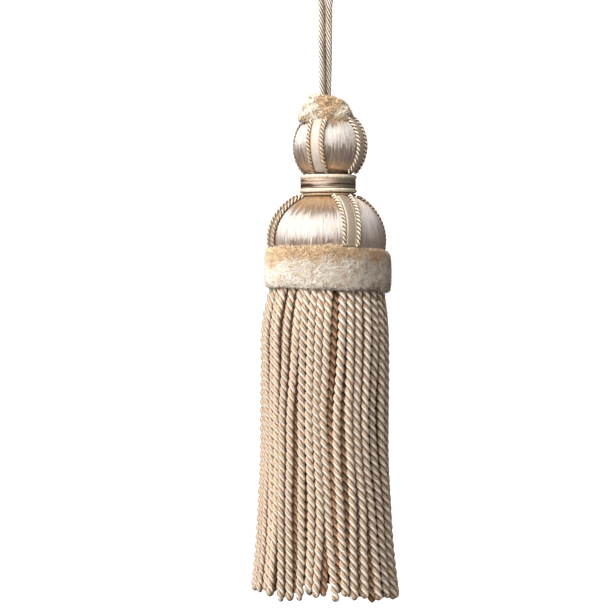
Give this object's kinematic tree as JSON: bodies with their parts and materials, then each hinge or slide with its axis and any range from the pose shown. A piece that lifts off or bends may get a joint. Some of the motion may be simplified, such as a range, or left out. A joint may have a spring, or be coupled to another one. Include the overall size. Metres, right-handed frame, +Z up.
{
  "type": "key tassel",
  "caption": "Key tassel on a doubled hanging cord: a velvet tuft, satin-wound ball and bell with ribbon trims, a velvet band and a long skirt of twisted bullion loops.",
  "frame": {"origin": "the place inside the top of the hanging cord's loop, where the tassel hangs", "axes": "+Z up along the tassel, which reaches down -Z; -Y is its front and +X its right as seen from the front"},
  "size_m": [0.0438, 0.0438, 0.198],
  "materials": {
    "cord_yarn": "plied yarn with flecks of taupe",
    "velvet": "cut velvet pile, golden tan and cream",
    "satin_floss": "glossy floss wound up and down",
    "ivory_ribbon": "soft silk ribbon",
    "gold_trim": "thin twisted cord with a sheen",
    "collar_gimp": "thread wound over a bead",
    "bullion_yarn": "twisted bullion of fine glossy threads"
  },
  "bodies": {
    "root": {"hanging_cord": "cord_yarn", "velvet_tuft": "velvet", "ball": "satin_floss", "collar": "satin_floss", "collar_bead_upper": "collar_gimp", "collar_bead_lower": "collar_gimp", "collar_bead_thin": "collar_gimp", "bell": "satin_floss", "velvet_band": "velvet", "bullion_skirt": "bullion_yarn", "ball_ribbon_1": "ivory_ribbon", "ball_cord_1a": "gold_trim", "ball_cord_1b": "gold_trim", "ball_ribbon_2": "ivory_ribbon", "ball_cord_2a": "gold_trim", "ball_cord_2b": "gold_trim", "ball_ribbon_3": "ivory_ribbon", "ball_cord_3a": "gold_trim", "ball_cord_3b": "gold_trim", "ball_ribbon_4": "ivory_ribbon", "ball_cord_4a": "gold_trim", "ball_cord_4b": "gold_trim", "bell_ribbon_1": "ivory_ribbon", "bell_cord_1a": "gold_trim", "bell_cord_1b": "gold_trim", "bell_ribbon_2": "ivory_ribbon", "bell_cord_2a": "gold_trim", "bell_cord_2b": "gold_trim", "bell_ribbon_3": "ivory_ribbon", "bell_cord_3a": "gold_trim", "bell_cord_3b": "gold_trim", "bell_ribbon_4": "ivory_ribbon", "bell_cord_4a": "gold_trim", "bell_cord_4b": "gold_trim"}
  },
  "joints": []
}
